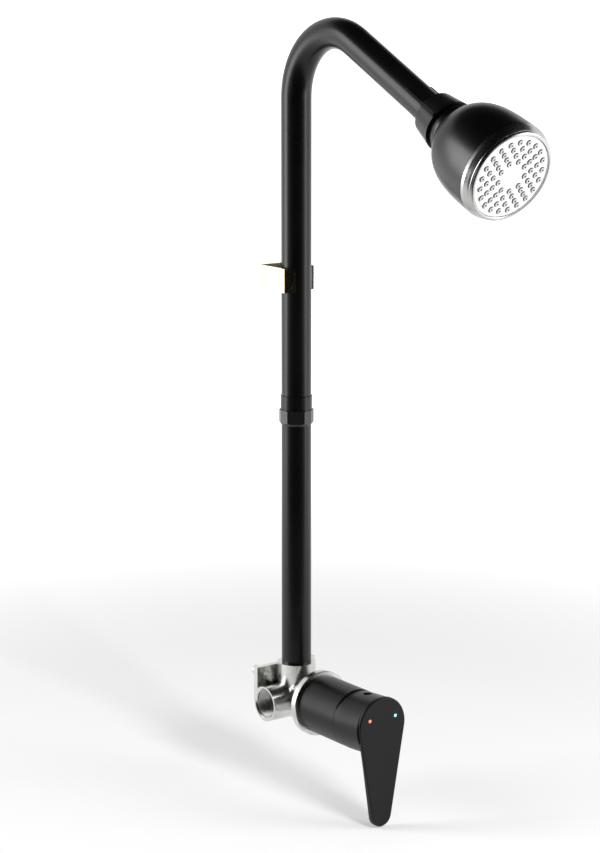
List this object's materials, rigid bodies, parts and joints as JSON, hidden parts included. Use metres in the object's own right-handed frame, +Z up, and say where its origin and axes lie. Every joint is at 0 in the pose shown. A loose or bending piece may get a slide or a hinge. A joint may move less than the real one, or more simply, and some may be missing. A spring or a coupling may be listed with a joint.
{
  "type": "wall mounted outdoor shower",
  "caption": "Black outdoor shower: lever mixer with hot and cold inlets, straight riser in a wall clip, gooseneck arm and round swivelling head",
  "frame": {"origin": "midpoint between the two wall screw holes, on the wall plane", "axes": "+Z up along the riser, -Y out of the wall towards the user, +X to the user's right (cold side)"},
  "size_m": [0.0788, 0.3097, 0.6542],
  "materials": {
    "raw_brass": "satin nickel-plated cast brass",
    "matt_black_brass": "matt black powder coat on brass",
    "matt_black_tube": "matt black powder coat on steel tube",
    "matt_black_lever": "matt black coat on cast zinc",
    "black_plastic": "satin black plastic",
    "steel": "plain stainless steel",
    "clip_brass": "satin pale brass sheet",
    "rubber": "black rubber",
    "ceramic": "polished ceramic",
    "white_plastic": "white plastic",
    "face_white": "pale grey face with fine grain",
    "nozzle_silicone": "grey silicone",
    "ring_satin": "satin silver plated ring",
    "hot_red": "red inset",
    "cold_blue": "blue inset"
  },
  "bodies": {
    "fixed": {"valve_body": "raw_brass", "riser_screw": "steel", "riser_seals": "rubber", "sleeve_seal": "rubber", "inlet_filter_hot": "steel", "inlet_filter_cold": "steel", "cartridge_base": "white_plastic", "base_seals": "rubber", "fixed_disc": "ceramic", "cartridge_housing": "white_plastic", "retaining_nut": "raw_brass", "sleeve": "matt_black_lever", "lower_tube": "matt_black_tube", "upper_tube": "matt_black_tube", "union_sleeve": "matt_black_tube", "union_nut": "matt_black_brass", "union_seal": "rubber", "wall_clip": "clip_brass", "clip_pads": "rubber", "collar": "black_plastic"},
    "turret": {"turret": "white_plastic", "pivot_pin": "steel"},
    "disc": {"moving_disc": "ceramic", "disc_carrier": "white_plastic"},
    "lever": {"lever": "matt_black_lever", "spindle": "raw_brass", "grub_screw": "steel", "hot_dot": "hot_red", "cold_dot": "cold_blue"},
    "swivel": {"swivel_ball": "raw_brass", "stem_seal": "rubber", "stem_clip": "steel", "flow_regulator": "white_plastic"},
    "head": {"head_shell": "black_plastic", "head_ring": "ring_satin", "face_plate": "face_white", "nozzle_mat": "nozzle_silicone", "chamber_plate": "white_plastic", "ball_seat": "white_plastic", "ball_retainer": "white_plastic", "ball_seal": "rubber"}
  },
  "joints": [
    {"name": "lever_turn", "type": "hinge", "parent": "fixed", "child": "turret", "pos_m": [0, -0.0935, -0.0171], "axis": [0, 1, 0], "range_deg": [-45, 45]},
    {"name": "lever_lift", "type": "hinge", "parent": "turret", "child": "lever", "pos_m": [0, -0.0935, -0.0171], "axis": [-1, 0, 0], "range_deg": [0, 22]},
    {"name": "disc_slide", "type": "slide", "parent": "turret", "child": "disc", "axis": [0, 0, 1], "range_m": [-0.00375, 0]},
    {"name": "head_turn", "type": "hinge", "parent": "fixed", "child": "swivel", "pos_m": [0, -0.23146, 0.47196], "axis": [0, 0.891, 0.454], "continuous": true},
    {"name": "head_tilt", "type": "hinge", "parent": "swivel", "child": "head", "pos_m": [0, -0.23146, 0.47196], "axis": [-1, 0, 0], "range_deg": [-18.3, 11.7]}
  ],
  "couplings": [
    {"joint": "disc_slide", "follows": "lever_lift", "m_per_rad": -0.0097561}
  ]
}
